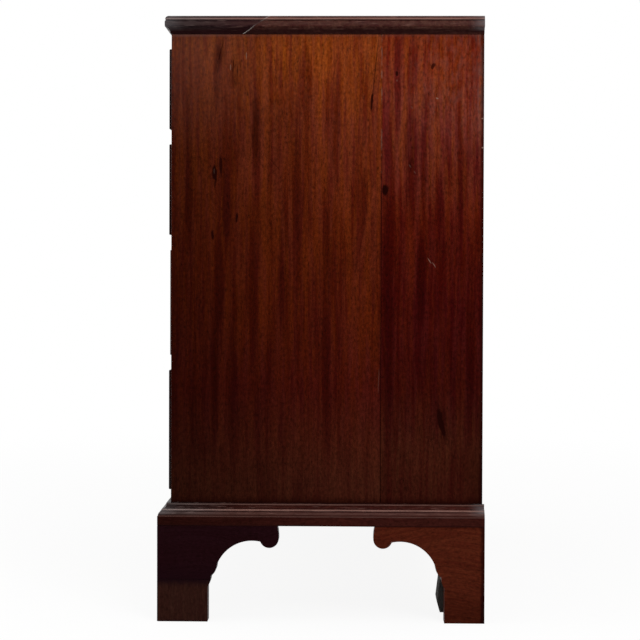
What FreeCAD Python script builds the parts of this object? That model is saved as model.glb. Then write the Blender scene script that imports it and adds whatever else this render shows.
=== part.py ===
import FreeCAD
import Part
import math
import os

# A small chest of four long drawers on bracket feet, joined the way such chests were made.
# Sizes are in millimetres. The front faces -Y, +Z is up, and +X is to the right of someone
# who faces the front. The origin is on the floor, under the middle of the base moulding.

# Carcase
case_width = 735.0
case_depth = 407.0
side_thickness = 19.0
rear_board_width = 133.0
housing_depth = 8.0
housing_setback = 10.0
rail_thickness = 18.5
rail_depth = 66.0
top_rail_thickness = 16.0
bottom_rail_height = 42.0
bottom_rail_thickness = 22.0
case_bottom_thickness = 15.0
runner_width = 30.0
dustboard_thickness = 8.0
dustboard_tongue = 6.0
back_thickness = 10.0
back_rebate = 9.0
back_lap = 8.0
back_board_count = 4

# Drawer openings, from the top down
first_opening = 106.5
second_opening = 120.5
third_opening = 140.0
fourth_opening = 159.0
third_set_back = 1.5
drawer_stand = 1.6

# Top and its moulded edge
top_thickness = 23.0
top_overhang = 8.2
top_reveal = 1.5
top_cove_height = 8.6
top_quirk_height = 17.0
top_quirk_depth = 1.6
top_quirk_slope = 0.8
top_nose_swell = 0.3
top_round = 5.0

# The repair let into the top's right-hand edge, with its sloping joint
splice_width = 26.0
splice_length_below = 94.5
splice_length_above = 129.5

# Base moulding
base_projection = 16.0
base_overrun = 2.0
base_fascia = 12.0
base_step = 0.8
base_ovolo = 6.8
base_bead = 2.6
base_bead_out = 1.7
base_cove = 4.5
base_cove_out = 4.0
base_top_fillet = 2.2
base_ledge = 5.2

# Bracket feet
foot_height = 125.0
bracket_thickness = 20.0
front_post_width = 66.0
rear_post_width = 52.0
post_below_top = 79.5
cusp_below_top = 65.5
cusp_out = 4.0
arch_radius = 48.9
arch_below_top = 19.3
arch_centre_out = 57.6
arch_start_angle = 160.0
arch_end_angle = 77.4
lobe_radius = 12.3
lobe_drop = 28.6
lobe_lean = 2.0
back_bracket_length = 118.0
back_bracket_post = 46.0
back_bracket_deep_end = 42.0
foot_tip_height = 55.0
block_size = 40.0
block_lift = 10.0
rear_block_reach = 60.2
rear_block_taper = 12.3
rear_block_toe_length = 3.7
rear_block_toe_height = 15.7

# Drawers
face_thickness = 20.0
drawer_side_thickness = 10.0
drawer_back_thickness = 9.0
drawer_bottom_thickness = 7.0
drawer_bottom_lift = 9.0
drawer_groove = 5.0
drawer_side_gap = 1.0
drawer_top_gap = 1.0
drawer_run_gap = 0.3
drawer_rear_gap = 8.0
drawer_side_drop = 4.0
drawer_back_drop = 3.0
dovetail_lap = 7.0
dovetail_pitch = 34.0
dovetail_share = 0.68
dovetail_slope = 6.0
bead_thickness = 3.2
bead_proud = 3.6
bead_inlet = 6.0
stop_width = 34.0
stop_length = 20.0
stop_height = 5.0
stop_spacing = 470.0
stop_gap = 0.2

# Handles
handle_spacing = 400.0
handle_above_middle = 8.0
post_spacing = 76.0
post_reach = 8.0
post_head = 4.3
post_neck = 2.6
post_stem = 3.2
post_shoulder = 0.8
post_shank = 2.4
rose_radius = 11.0
rose_thickness = 2.2
nut_size = 11.0
nut_thickness = 4.0
nut_end = 2.0
bail_pin = 1.6
bail_pin_gap = 0.05
bail_pin_root = 0.6
bail_radius = 2.4
bail_drop = 28.3
bail_bend = 5.0
bail_start = 6.0

# Locks
lock_width = 62.0
lock_height = 40.0
lock_depth = 9.0
selvedge_width = 76.0
selvedge_depth = 13.0
selvedge_thickness = 2.5
keyhole_drop = 24.0
keyhole_radius = 3.4
keyhole_slot = 1.8
keyhole_length = 9.0
escutcheon_rim = 1.3
escutcheon_depth = 5.0
lock_pocket = 6.0
bolt_width = 24.0
bolt_thickness = 6.0
bolt_mortise = 8.0
bolt_length = 14.0
bolt_gap = 1.0

# Places that follow from the sizes
half = case_width / 2
inner = half - side_thickness
base_depth = base_projection + case_depth + base_overrun
base_front = -base_depth / 2
base_back = base_depth / 2
base_side = half + base_projection
front = base_front + base_projection
back = front + case_depth
back_face = back - back_thickness
case_low = foot_height
bottom_floor = case_low + bottom_rail_height
openings = (first_opening, second_opening, third_opening, fourth_opening)
set_backs = (-drawer_stand, -drawer_stand, third_set_back - drawer_stand, -drawer_stand)

floors = [bottom_floor]
for opening in openings[:0:-1]:
    floors.insert(0, floors[0] + opening + rail_thickness)
top_rail_low = floors[0] + openings[0]
case_top = top_rail_low + top_rail_thickness

Vector = FreeCAD.Vector
PLANES = {
    "x": lambda u, v, w: Vector(w, u, v),
    "y": lambda u, v, w: Vector(u, w, v),
    "z": lambda u, v, w: Vector(u, v, w),
}


class Outline:
    """A closed path of straight lines and arcs that becomes a solid."""

    def __init__(self, u, v):
        self.first = (u, v)
        self.steps = []

    def line(self, *points):
        self.steps += [(point,) for point in points]
        return self

    def arc(self, middle, end):
        self.steps.append((middle, end))
        return self

    def face(self, axis, level):
        place = PLANES[axis]
        edges = []
        here = self.first
        for step in self.steps + [(self.first,)]:
            points = [place(u, v, level) for u, v in (here,) + step]
            here = step[-1]
            if len(points) == 3:
                edges.append(Part.Arc(*points).toShape())
            elif points[0].distanceToPoint(points[1]) > 1e-6:
                edges.append(Part.makeLine(*points))
        return Part.Face(Part.Wire(edges))

    def push(self, axis, start, end):
        """The path drawn square to an axis and pushed along it from start to end."""
        travel = PLANES[axis](0, 0, end - start)
        return self.face(axis, start).extrude(travel)

    def turn(self):
        """The path as (radius, reach), turned about a line that points out of the front."""
        return self.face("z", 0).revolve(Vector(0, 0, 0), Vector(0, -1, 0), 360)


def box(x, y, z):
    return Part.makeBox(x[1] - x[0], y[1] - y[0], z[1] - z[0], Vector(x[0], y[0], z[0]))


def mirrored(shape):
    """The same piece on the other side of the chest's middle."""
    return shape.mirror(Vector(0, 0, 0), Vector(1, 0, 0))


def pair(shape):
    return [mirrored(shape), shape]


def cut_all(shape, tools):
    for tool in tools:
        shape = shape.cut(tool)
    return shape


def moved(shape, x, y, z):
    return shape.translated(Vector(x, y, z))


def to_front(shape):
    """Swings a strip whose moulding faces +X round until it faces the front."""
    turned = shape.copy()
    turned.rotate(Vector(0, 0, 0), Vector(0, 0, 1), -90)
    return turned


nodes = {}
reach = case_width + case_depth


# Sides: two boards each, glued edge to edge, housed for every rail and rebated for the back
def side_boards():
    housings = [(floor - rail_thickness, floor) for floor in floors[:-1]]
    housings.append((top_rail_low, case_top))
    housings.append((bottom_floor - case_bottom_thickness, bottom_floor))
    side = box((inner, half), (front, back), (case_low, case_top))
    for low, high in housings:
        depth = (inner, inner + housing_depth)
        side = side.cut(box(depth, (front + housing_setback, back_face), (low, high)))
    side = side.cut(box((inner, inner + back_rebate), (back_face, back), (case_low, case_top)))
    seam = back - rear_board_width
    front_part = box((inner, half), (front, seam), (case_low, case_top))
    return side.common(front_part), side.cut(front_part)


front_board, rear_board = side_boards()
nodes["left_side_front_board"] = [mirrored(front_board)]
nodes["left_side_rear_board"] = [mirrored(rear_board)]
nodes["right_side_front_board"] = [front_board]
nodes["right_side_rear_board"] = [rear_board]


# Rails, runners and dustboards: one frame between each two drawers
def rail(low, high, depth, tenon_low):
    body = box((-inner, inner), (front, front + depth), (low, high))
    for tenon in pair(box(
        (inner, inner + housing_depth), (front + housing_setback, front + depth), (tenon_low, high)
    )):
        body = body.fuse(tenon)
    return body.removeSplitter()


def bolt_socket(rail_low, set_back):
    """The mortise that a drawer's lock bolt rises into."""
    middle = front + set_back + face_thickness - lock_depth / 2
    deep = bolt_thickness / 2 + bolt_gap
    wide = bolt_width / 2 + bolt_gap
    return box((-wide, wide), (middle - deep, middle + deep), (rail_low, rail_low + bolt_mortise))


def dustboard(floor):
    half_width = inner - runner_width + dustboard_tongue
    y = (front + rail_depth - dustboard_tongue, back_face)
    middle = floor - rail_thickness / 2
    z = (middle - dustboard_thickness / 2, middle + dustboard_thickness / 2)
    return box((-half_width, half_width), y, z)


def runner(low, high):
    return box((inner - runner_width, inner + housing_depth), (front + rail_depth, back_face), (low, high))


nodes["divider_rails"] = []
nodes["drawer_runners"] = []
nodes["dustboards"] = []
for floor, set_back in zip(floors[:-1], set_backs[1:]):
    panel = dustboard(floor)
    low = floor - rail_thickness
    divider = rail(low, floor, rail_depth, low)
    nodes["divider_rails"].append(cut_all(divider, [panel, bolt_socket(low, set_back)]))
    nodes["drawer_runners"] += [side.cut(panel) for side in pair(runner(low, floor))]
    nodes["dustboards"].append(panel)

upper_rail = rail(top_rail_low, case_top, rail_depth, top_rail_low)
nodes["top_rail"] = [upper_rail.cut(bolt_socket(top_rail_low, set_backs[0]))]
nodes["top_kickers"] = pair(runner(top_rail_low, case_top))

tenon_low = bottom_floor - case_bottom_thickness
nodes["bottom_rail"] = [rail(case_low, bottom_floor, bottom_rail_thickness, tenon_low)]
bottom_half = inner + housing_depth
bottom_y = (front + bottom_rail_thickness, back_face)
nodes["case_bottom"] = [box((-bottom_half, bottom_half), bottom_y, (tenon_low, bottom_floor))]

nodes["drawer_stops"] = []
for floor, set_back in zip(floors, set_backs):
    y = front + set_back + face_thickness + stop_gap
    x = stop_spacing / 2
    stop = box((x - stop_width / 2, x + stop_width / 2), (y, y + stop_length), (floor, floor + stop_height))
    nodes["drawer_stops"] += pair(stop)


# Back: level boards in the rebates of the sides, each lapped over the next
def back_boards():
    boards = []
    half_width = inner + back_rebate
    height = (case_top - case_low) / back_board_count
    lap_y = (back_face, back_face + back_thickness / 2)
    for number in range(back_board_count):
        low = case_low + number * height
        high = low + height
        board = box((-half_width, half_width), (back_face, back), (low, high))
        if number > 0:
            board = board.cut(box((-half_width, half_width), lap_y, (low, low + back_lap)))
        if number < back_board_count - 1:
            tongue = box((-half_width, half_width), lap_y, (high, high + back_lap))
            board = board.fuse(tongue).removeSplitter()
        boards.append(board)
    return boards


nodes["back_boards"] = back_boards()


# Top: one moulded edge is worked along the front and both ends, and the corners mitre by themselves
def moulded_slab():
    lip = top_overhang - top_nose_swell
    edge = Outline(-reach, case_top).line((top_reveal, case_top))
    cove_top = case_top + top_cove_height
    edge.arc(
        (top_reveal + 0.3 * (lip - top_reveal), case_top + 0.72 * top_cove_height), (lip, cove_top)
    )
    quirk = case_top + top_quirk_height
    nose_middle = (cove_top + quirk) / 2
    edge.arc((top_overhang, nose_middle), (lip, quirk - top_quirk_slope))
    round_low = quirk + top_quirk_slope
    round_out = lip - top_nose_swell
    edge.line((lip - top_quirk_depth, quirk), (round_out, round_low))
    top_surface = case_top + top_thickness
    edge.arc(
        (round_out - 0.28 * top_round, round_low + 0.7 * (top_surface - round_low)),
        (lip - top_round, top_surface),
    )
    edge.line((-reach, top_surface))
    return edge.push("y", -reach, reach)


def top_and_splice():
    slab = moulded_slab()
    right = moved(slab, half, 0, 0)
    top = moved(to_front(slab), 0, front, 0).common(right).common(mirrored(right))
    top = top.common(box((-reach, reach), (-reach, back), (case_top, case_top + top_thickness)))
    wedge = Outline(base_front, case_top)
    wedge.line((front + splice_length_below, case_top))
    wedge.line((front + splice_length_above, case_top + top_thickness))
    wedge.line((base_front, case_top + top_thickness))
    edge_x = half + top_overhang
    wedge = wedge.push("x", edge_x - splice_width, edge_x + splice_width)
    return top.cut(wedge), top.common(wedge)


top_board, top_splice = top_and_splice()
nodes["top_board"] = [top_board]
nodes["top_edge_splice"] = [top_splice]


# Base moulding: one section, mitred at the front corners
def base_section():
    z = foot_height
    step_out = base_projection - base_step
    bead_out = base_ledge + base_cove_out + base_bead_out
    edge = Outline(0, z).line((base_projection, z))
    z += base_fascia
    edge.line((base_projection, z), (step_out, z))
    ovolo_out = step_out - bead_out
    edge.arc((bead_out + 0.74 * ovolo_out, z + 0.62 * base_ovolo), (bead_out, z + base_ovolo))
    z += base_ovolo
    cove_start = base_ledge + base_cove_out
    edge.arc((bead_out - 0.04 * base_bead, z + 0.62 * base_bead), (cove_start, z + base_bead))
    z += base_bead
    edge.arc(
        (base_ledge + 0.3 * base_cove_out, z + 0.3 * base_cove), (base_ledge, z + base_cove)
    )
    z += base_cove + base_top_fillet
    edge.line((base_ledge, z), (0, z))
    return edge.push("y", -reach, reach)


def base_mouldings():
    strip = base_section()
    high = case_low + reach
    side_mitre = Outline(half, front).line((base_side, base_front), (base_side, base_back), (half, base_back))
    side = moved(strip, half, 0, 0).common(side_mitre.push("z", 0, high))
    front_mitre = Outline(-half, front)
    front_mitre.line((-base_side, base_front), (base_side, base_front), (half, front))
    across = moved(to_front(strip), 0, front, 0).common(front_mitre.push("z", 0, high))
    return across, mirrored(side), side


across, left_strip, right_strip = base_mouldings()
nodes["base_moulding_front"] = [across]
nodes["base_moulding_left"] = [left_strip]
nodes["base_moulding_right"] = [right_strip]


# Feet: shaped brackets, mitred at the front, with blocks glued into the corners
def bracket(post_width):
    """A bracket that runs along +X from its corner, with its outer face at y = 0."""
    def on_arch(angle):
        angle = math.radians(angle)
        centre = foot_height - arch_below_top - arch_radius
        out = post_width + arch_centre_out
        return out + arch_radius * math.cos(angle), centre + arch_radius * math.sin(angle)

    cusp = post_width + cusp_out
    post_top = foot_height - post_below_top
    cusp_z = foot_height - cusp_below_top
    rise = cusp_z - post_top
    spring = on_arch(arch_start_angle)
    lobe_start = on_arch(arch_end_angle)
    lobe_z = foot_height - lobe_drop + lobe_radius
    lobe_out = lobe_start[0] + math.sqrt(lobe_radius ** 2 - (lobe_z - lobe_start[1]) ** 2)
    lobe_end = lobe_out + lobe_radius
    edge = Outline(0, 0).line((post_width, 0), (post_width, post_top))
    edge.arc((post_width + 0.62 * cusp_out, post_top + 0.36 * rise), (cusp, post_top + 0.75 * rise))
    edge.line((cusp, cusp_z))
    edge.arc((cusp + 0.72 * (spring[0] - cusp), cusp_z + 0.42 * (spring[1] - cusp_z)), spring)
    edge.arc(on_arch((arch_start_angle + arch_end_angle) / 2), lobe_start)
    edge.arc((lobe_out, lobe_z - lobe_radius), (lobe_end, lobe_z))
    edge.arc((lobe_end - lobe_lean / 4, (lobe_z + foot_height) / 2), (lobe_end - lobe_lean, foot_height))
    edge.line((0, foot_height))
    return edge.push("y", 0, bracket_thickness)


def mitred(shape):
    """Cuts a bracket's corner end to 45 degrees."""
    corner = Outline(0, 0).line((0, bracket_thickness), (bracket_thickness, bracket_thickness))
    return shape.cut(corner.push("z", 0, foot_height))


def along_side(shape):
    """Turns a bracket to run back along the right-hand side of the chest."""
    turned = shape.copy()
    turned.rotate(Vector(0, 0, 0), Vector(0, 0, 1), 90)
    return turned


def front_foot():
    corner_bracket = mitred(bracket(front_post_width))
    side = moved(along_side(corner_bracket), base_side, base_front, 0)
    across = moved(mirrored(corner_bracket), base_side, base_front, 0)
    return across, side


def rear_foot():
    side = along_side(bracket(rear_post_width)).mirror(Vector(0, 0, 0), Vector(0, 1, 0))
    inside = base_side - bracket_thickness
    plain = Outline(inside, 0).line((inside - back_bracket_post, 0))
    far = inside - back_bracket_length
    plain.line((far, foot_height - back_bracket_deep_end), (far, foot_height), (inside, foot_height))
    return plain.push("y", base_back - bracket_thickness, base_back), moved(side, base_side, base_back, 0)


def foot_blocks():
    inside = base_side - bracket_thickness
    near = base_front + bracket_thickness
    chamfer = 0.4 * block_size
    corner = Outline(inside, near).line((inside, near + block_size), (inside - chamfer, near + block_size))
    corner.line((inside - block_size, near + chamfer), (inside - block_size, near))
    front_block = corner.push("z", block_lift, foot_height)
    far = base_back - bracket_thickness
    tip = base_back - rear_block_reach
    toe = tip + rear_block_toe_length
    heel = block_lift + rear_block_toe_height
    taper = Outline(far, block_lift).line((toe, block_lift))
    taper.arc((tip + 0.4 * (toe - tip), (block_lift + heel) / 2), (tip, heel))
    taper.line((tip + rear_block_taper, foot_height), (far, foot_height))
    rear_block = taper.push("x", inside - block_size, inside)
    return pair(front_block) + pair(rear_block)


front_across, front_side = front_foot()
rear_across, rear_side = rear_foot()
tip_space = box((0, reach), (-reach, reach), (0, foot_tip_height))
nodes["front_left_foot"] = [mirrored(front_across), mirrored(front_side)]
nodes["front_right_foot"] = [front_across, front_side.cut(tip_space)]
nodes["front_right_foot_tip"] = [front_side.common(tip_space)]
nodes["rear_left_foot"] = [mirrored(rear_across), mirrored(rear_side)]
nodes["rear_right_foot"] = [rear_across, rear_side]
nodes["foot_blocks"] = foot_blocks()


# Drawers: dovetailed boxes with a bead round the face
def tails(low, high, base, tip):
    """The dovetails at one end of a drawer side, as points from the bottom up."""
    count = max(2, round((high - low) / dovetail_pitch))
    pitch = (high - low) / count
    at_base = dovetail_share * pitch / 2
    at_tip = at_base + abs(tip - base) / dovetail_slope
    points = []
    for number in range(count):
        middle = low + (number + 0.5) * pitch
        points += [(base, middle - at_base), (tip, middle - at_tip)]
        points += [(tip, middle + at_tip), (base, middle + at_base)]
    return points


def cock_bead(half_width, face, low, high):
    """Four rounded strips let into the edges of a drawer front and mitred at its corners."""
    nose = face - bead_proud
    flat = nose + bead_thickness / 2
    inlet = face + bead_inlet

    def strip(axis, outer, inward):
        inside = outer + inward * bead_thickness
        middle = (nose, outer + inward * bead_thickness / 2)
        points = [(inlet, outer), (flat, outer), middle, (flat, inside), (inlet, inside)]
        if axis == "z":
            points = [(v, u) for u, v in points]
        edge = Outline(*points[0]).line(points[1]).arc(points[2], points[3]).line(points[4])
        return edge.push(axis, -reach, reach)

    def mitre(*corners):
        return Outline(*corners[0]).line(*corners[1:]).push("y", -reach, reach)

    t = bead_thickness
    inside = half_width - t
    outer_low = ((-half_width, low), (half_width, low))
    outer_high = ((half_width, high), (-half_width, high))
    bottom = strip("x", low, 1).common(mitre(*outer_low, (inside, low + t), (-inside, low + t)))
    top = strip("x", high, -1).common(mitre(*outer_high, (-inside, high - t), (inside, high - t)))
    end = ((half_width, low), (half_width, high), (inside, high - t), (inside, low + t))
    side = strip("z", half_width, -1).common(mitre(*end))
    return [bottom, top] + pair(side)


def keyhole(margin, start, end, middle_z):
    """A keyhole's outline, grown by a margin, as a plug from start to end."""
    radius = keyhole_radius + margin
    slot = keyhole_slot + margin
    shoulder = middle_z - math.sqrt(radius ** 2 - slot ** 2)
    low = middle_z - keyhole_length
    edge = Outline(-slot, low).arc((0, low - slot), (slot, low)).line((slot, shoulder))
    return edge.arc((0, middle_z + radius), (-slot, shoulder)).push("y", start, end)


def lock(face, high):
    rear = face + face_thickness
    middle = high - keyhole_drop
    width = (-lock_width / 2, lock_width / 2)
    case = box(width, (rear - lock_depth, rear), (high - lock_height, high))
    selvedge = (-selvedge_width / 2, selvedge_width / 2)
    case = case.fuse(box(selvedge, (rear - selvedge_depth, rear), (high - selvedge_thickness, high)))
    case = case.removeSplitter()
    bolt_middle = rear - lock_depth / 2
    bolt_y = (bolt_middle - bolt_thickness / 2, bolt_middle + bolt_thickness / 2)
    bolt = box((-bolt_width / 2, bolt_width / 2), bolt_y, (high - bolt_length, high))
    hole = keyhole(0, face, rear - lock_depth + lock_pocket, middle)
    lining = keyhole(escutcheon_rim, face, face + escutcheon_depth, middle)
    return case, bolt, hole, lining


def handle_post(x, z, face):
    """A rose, a post with its shank, and the nut that holds both to the drawer front."""
    shank_end = -face_thickness - nut_thickness - nut_end
    neck_end = post_reach - math.sqrt(post_head ** 2 - post_neck ** 2)
    shape = Outline(0, -shank_end).line((post_shank, -shank_end), (post_shank, 0), (post_stem, 0))
    shape.line((post_stem, -rose_thickness), (post_neck, -rose_thickness - post_shoulder))
    shape.line((post_neck, -neck_end))
    shape.arc((post_head, -post_reach), (0, -post_reach - post_head))
    post = shape.turn()
    eye = bail_pin + bail_pin_gap
    reach_x = 2 * post_head
    post = post.cut(
        Part.makeCylinder(eye, 2 * reach_x, Vector(-reach_x, -post_reach, 0), Vector(1, 0, 0))
    )
    edge = Outline(post_stem, 0).line((rose_radius, 0), (rose_radius, -0.4 * rose_thickness))
    rose = edge.line((0.6 * rose_radius, -rose_thickness), (post_stem, -rose_thickness)).turn()
    side = (-nut_size / 2, nut_size / 2)
    nut = box(side, (face_thickness, face_thickness + nut_thickness), side)
    nut = nut.cut(post)
    return [moved(piece, x, face, z) for piece in (rose, post, nut)]


def bail():
    """A bail of round bar, a wide bow between two tight bends, that hangs from two pins."""
    side = post_spacing / 2
    neck = side + bail_start
    bow = (neck ** 2 + bail_drop ** 2 - 2 * bail_bend * bail_drop) / (2 * (bail_drop - 2 * bail_bend))
    bow_high = bow - bail_drop
    join_angle = math.atan2(-bail_bend - bow_high, neck)
    bend_angle = (math.radians(90) + join_angle) / 2
    join = Vector(bow * math.cos(join_angle), 0, bow_high + bow * math.sin(join_angle))
    bend = Vector(neck + bail_bend * math.cos(bend_angle), 0, bail_bend * (math.sin(bend_angle) - 1))
    wide_bow = Part.Arc(Vector(-join.x, 0, join.z), Vector(0, 0, -bail_drop), join).toShape()
    right_bend = Part.Arc(join, bend, Vector(neck, 0, 0)).toShape()
    path = Part.Wire([mirrored(right_bend), wide_bow, right_bend])
    ring = Part.Wire(Part.makeCircle(bail_radius, Vector(-neck, 0, 0), Vector(1, 0, 0)))
    bar = path.makePipeShell([ring], True, False)
    pin_inside = side - 0.8 * post_head
    pin_length = neck + bail_pin_root - pin_inside
    pin = Part.makeCylinder(bail_pin, pin_length, Vector(pin_inside, 0, 0), Vector(1, 0, 0))
    for end in pair(pin):
        bar = bar.fuse(end)
    return bar


hanging_bail = bail()


def drawer(name, floor, opening, set_back):
    face = front + set_back
    rear = back_face - drawer_rear_gap
    low = floor + drawer_run_gap
    high = floor + opening - drawer_top_gap
    half_width = inner - drawer_side_gap
    face_back = face + face_thickness
    side_top = high - drawer_side_drop
    rear_base = rear - drawer_back_thickness

    field = half_width - bead_thickness
    front_panel = box((-half_width, half_width), (face + bead_inlet, face_back), (low, high))
    front_panel = front_panel.fuse(
        box((-field, field), (face, face + bead_inlet), (low + bead_thickness, high - bead_thickness))
    ).removeSplitter()

    edge = Outline(face_back, low).line((rear_base, low)).line(*tails(low, side_top, rear_base, rear))
    edge.line((rear_base, side_top), (face_back, side_top))
    edge.line(*tails(low, side_top, face_back, face + dovetail_lap)[::-1])
    side = edge.push("x", half_width - drawer_side_thickness, half_width)
    sides = pair(side)

    floor_z = low + drawer_bottom_lift
    floor_top = floor_z + drawer_bottom_thickness
    floor_half = half_width - drawer_side_thickness + drawer_groove
    bottom = box((-floor_half, floor_half), (face_back - drawer_groove, rear), (floor_z, floor_top))
    back_panel = box((-half_width, half_width), (rear_base, rear), (floor_top, side_top - drawer_back_drop))

    lock_case, bolt, hole, lining = lock(face, high)
    middle = (low + high) / 2 + handle_above_middle
    posts = []
    for handle_x in (-handle_spacing / 2, handle_spacing / 2):
        for offset in (-post_spacing / 2, post_spacing / 2):
            posts += handle_post(handle_x + offset, middle, face)

    nodes[name + "_front"] = [cut_all(front_panel, sides + [bottom, lock_case, lining, hole] + posts)]
    nodes[name + "_sides"] = [piece.cut(bottom) for piece in sides]
    nodes[name + "_back"] = [cut_all(back_panel, sides)]
    nodes[name + "_bottom"] = [bottom]
    nodes[name + "_cock_bead"] = cock_bead(half_width, face, low, high)
    nodes[name + "_lock"] = [cut_all(lock_case, [hole, bolt]), bolt, lining.cut(hole)]
    nodes[name + "_handle_posts"] = posts
    for hand, handle_x in (("left", -handle_spacing / 2), ("right", handle_spacing / 2)):
        nodes[name + "_" + hand + "_bail"] = [moved(hanging_bail, handle_x, face - post_reach, middle)]


for number, (floor, opening, set_back) in enumerate(zip(floors, openings, set_backs), 1):
    drawer("drawer_" + str(number), floor, opening, set_back)

# One STEP file for each named piece or group of like pieces
os.makedirs("parts", exist_ok=True)
for name, pieces in nodes.items():
    solids = [solid for piece in pieces for solid in piece.Solids]
    shape = solids[0] if len(solids) == 1 else Part.makeCompound(solids)
    shape.exportStep("parts/" + name + ".step")
    print(name, len(solids), "of", len(pieces), round(shape.Volume), shape.isValid())
box_size = Part.makeCompound([piece for pieces in nodes.values() for piece in pieces]).BoundBox
print(len(nodes), "nodes", box_size)
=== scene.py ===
# %% [markdown]
# A small old chest of four long drawers, made of mahogany on bracket feet.
# Its boards, drawers, locks and handles come from the imported model, already at their real size and
# already riding on the bodies that move. This lesson gives them their looks: soft worn edges, the
# right wood on each board with the grain running the right way, aged brass, nails and screws.
# We load the model first. The dressed chest has to stay inside it.

# %% Load the chest
import math
import random

import bmesh
import bpy
from mathutils import Matrix, Quaternion, Vector


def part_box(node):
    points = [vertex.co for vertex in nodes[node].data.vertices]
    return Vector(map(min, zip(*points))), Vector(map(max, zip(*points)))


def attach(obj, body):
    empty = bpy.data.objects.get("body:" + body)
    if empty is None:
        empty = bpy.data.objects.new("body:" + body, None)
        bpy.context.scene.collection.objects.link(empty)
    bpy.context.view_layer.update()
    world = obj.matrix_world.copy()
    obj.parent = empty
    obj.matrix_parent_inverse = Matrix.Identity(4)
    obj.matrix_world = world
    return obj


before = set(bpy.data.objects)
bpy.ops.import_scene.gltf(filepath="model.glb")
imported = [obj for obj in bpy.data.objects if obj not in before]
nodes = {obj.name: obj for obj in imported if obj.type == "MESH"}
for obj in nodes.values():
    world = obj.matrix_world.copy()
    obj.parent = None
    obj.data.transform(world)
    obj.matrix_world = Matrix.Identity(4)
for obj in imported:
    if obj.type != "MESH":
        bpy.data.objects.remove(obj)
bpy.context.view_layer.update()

# %% [markdown]
# Streaks and marks are then measured from such an edge or from the floor.

# %% Read the main places
side_low, side_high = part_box("right_side_front_board")
side_face = side_high.x
case_front = side_low.y
case_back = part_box("right_side_rear_board")[1].y
case_low = side_low.z
case_high = side_high.z
seam = side_high.y
base_low, base_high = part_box("base_moulding_right")
top_low, top_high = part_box("top_board")
print("side face at x", round(side_face, 4), "and its seam at y", round(seam, 4))

# %% [markdown]
# A finish is a tree of shader nodes. Wiring nodes one by one is slow to read, so two small helpers carry
# the whole lesson. Value wraps one output socket and lets plain sums on it add Math nodes, so that
# 1 - mask means what it says. Finish owns a material, and its node method makes any other node: first
# the settings, then the values or links of its sockets.

# %% Helpers for shader sums
class Value:
    """One output of a shader node. A sum on it adds a Math node."""

    def __init__(self, finish, socket):
        self.finish = finish
        self.socket = socket

    def sum(self, operation, first, second):
        return self.finish.node("ShaderNodeMath", {"operation": operation}, {0: first, 1: second})

    def __add__(self, other):
        return self.sum("ADD", self, other)

    def __sub__(self, other):
        return self.sum("SUBTRACT", self, other)

    def __rsub__(self, other):
        return self.sum("SUBTRACT", other, self)

    def __mul__(self, other):
        return self.sum("MULTIPLY", self, other)

    def __truediv__(self, other):
        return self.sum("DIVIDE", self, other)

    def __abs__(self):
        return self.sum("ABSOLUTE", self, 0.0)

    __radd__ = __add__
    __rmul__ = __mul__


class Finish:
    """A material that is put together node by node."""

    def __init__(self, name, owner=None):
        self.material = owner or bpy.data.materials.new(name)
        self.material.use_nodes = True
        self.tree = self.material.node_tree
        self.tree.nodes.clear()

    def node(self, kind, settings=None, sockets=None, output=0):
        made = self.tree.nodes.new(kind)
        for key, value in (settings or {}).items():
            if key == "stops":
                set_stops(made.color_ramp, value)
            else:
                setattr(made, key, value)
        for key, value in (sockets or {}).items():
            if isinstance(value, Value):
                self.tree.links.new(value.socket, made.inputs[key])
            else:
                made.inputs[key].default_value = value
        return Value(self, made.outputs[output]) if made.outputs else made


def set_stops(ramp, stops):
    """Fills a colour ramp with (place, colour) stops."""
    while len(ramp.elements) < len(stops):
        ramp.elements.new(1.0)
    for element, (place, colour) in zip(ramp.elements, stops):
        element.position = place
        element.color = (*colour, 1.0)


print("helpers ready")

# %% [markdown]
# Wood needs few kinds of pattern. Soft noise, stretched in the direction of the grain, gives ribbons,
# streaks and pores, and only its size changes. The size is written in metres, one number for each
# axis, so a pattern can be compared with a ruler held against the real board. The object coordinates of
# a piece are the chest's own frame at rest, so the grain stays put when a drawer slides out. The function
# rise turns a distance into a mask: it takes two distances and the strength of the mask at each. Single
# marks are ovals, each given by its distance from the front edge, its height above the floor, its half
# width and half height, its lean and its strength.

# %% Patterns
RAGGED_RIM = 1.6


def noise(finish, place, size, detail=2.0, roughness=0.5):
    """Soft spots, about as large in metres as size says along each axis."""
    stretched = finish.node("ShaderNodeVectorMath", {"operation": "DIVIDE"}, {0: place, 1: size})
    sockets = {"Vector": stretched, "Scale": 1.0, "Detail": detail, "Roughness": roughness}
    return finish.node("ShaderNodeTexNoise", None, sockets)


def rise(finish, value, low, high, first=0.0, last=1.0):
    """Goes smoothly from first to last as value goes from low to high, and stays there."""
    settings = {"interpolation_type": "SMOOTHSTEP"}
    sockets = {0: value, 1: low, 2: high, 3: first, 4: last}
    return finish.node("ShaderNodeMapRange", settings, sockets)


def held(finish, value, low=0.0, high=1.0):
    """A value kept between two limits."""
    return finish.node("ShaderNodeClamp", None, {0: value, 1: low, 2: high})


def blend(finish, factor, first, second, kind="MIX"):
    """Mixes two colours."""
    settings = {"data_type": "RGBA", "blend_type": kind}
    first, second = [c if isinstance(c, Value) else (*c, 1.0) for c in (first, second)]
    return finish.node("ShaderNodeMix", settings, {0: factor, 6: first, 7: second}, 2)


def ramp(finish, value, stops):
    """A colour that changes with a value."""
    return finish.node("ShaderNodeValToRGB", {"stops": stops}, {0: value})


def tinted(finish, colour, brightness):
    """A colour times a plain number."""
    grey = finish.node("ShaderNodeCombineColor", None, {0: brightness, 1: brightness, 2: brightness})
    return blend(finish, 1.0, colour, grey, "MULTIPLY")


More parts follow.
